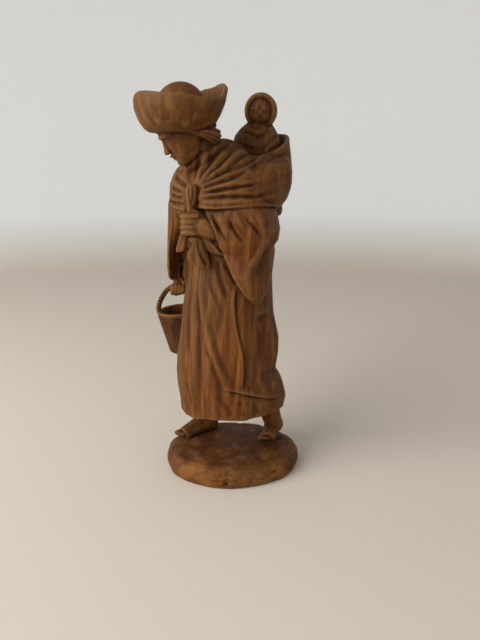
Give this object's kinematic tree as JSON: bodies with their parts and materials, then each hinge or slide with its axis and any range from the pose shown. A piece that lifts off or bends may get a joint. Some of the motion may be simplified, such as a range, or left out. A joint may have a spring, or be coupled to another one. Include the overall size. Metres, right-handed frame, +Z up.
{
  "type": "carved wooden figure",
  "caption": "Hand-carved standing figure of a walking woman in hat, shawl and long skirt, with a child on her back and a basket, on an oval plinth.",
  "frame": {"origin": "centre of the plinth's flat underside, on the surface it stands on", "axes": "+Z up; she faces -Y and her left side is +X; the plinth's long axis is turned 50 degrees from +X toward +Y"},
  "size_m": [0.1534, 0.1662, 0.396],
  "materials": {
    "carved_wood": "hand-carved, waxed to a soft satin"
  },
  "bodies": {
    "root": {"carved_figure": "carved_wood"}
  },
  "joints": []
}
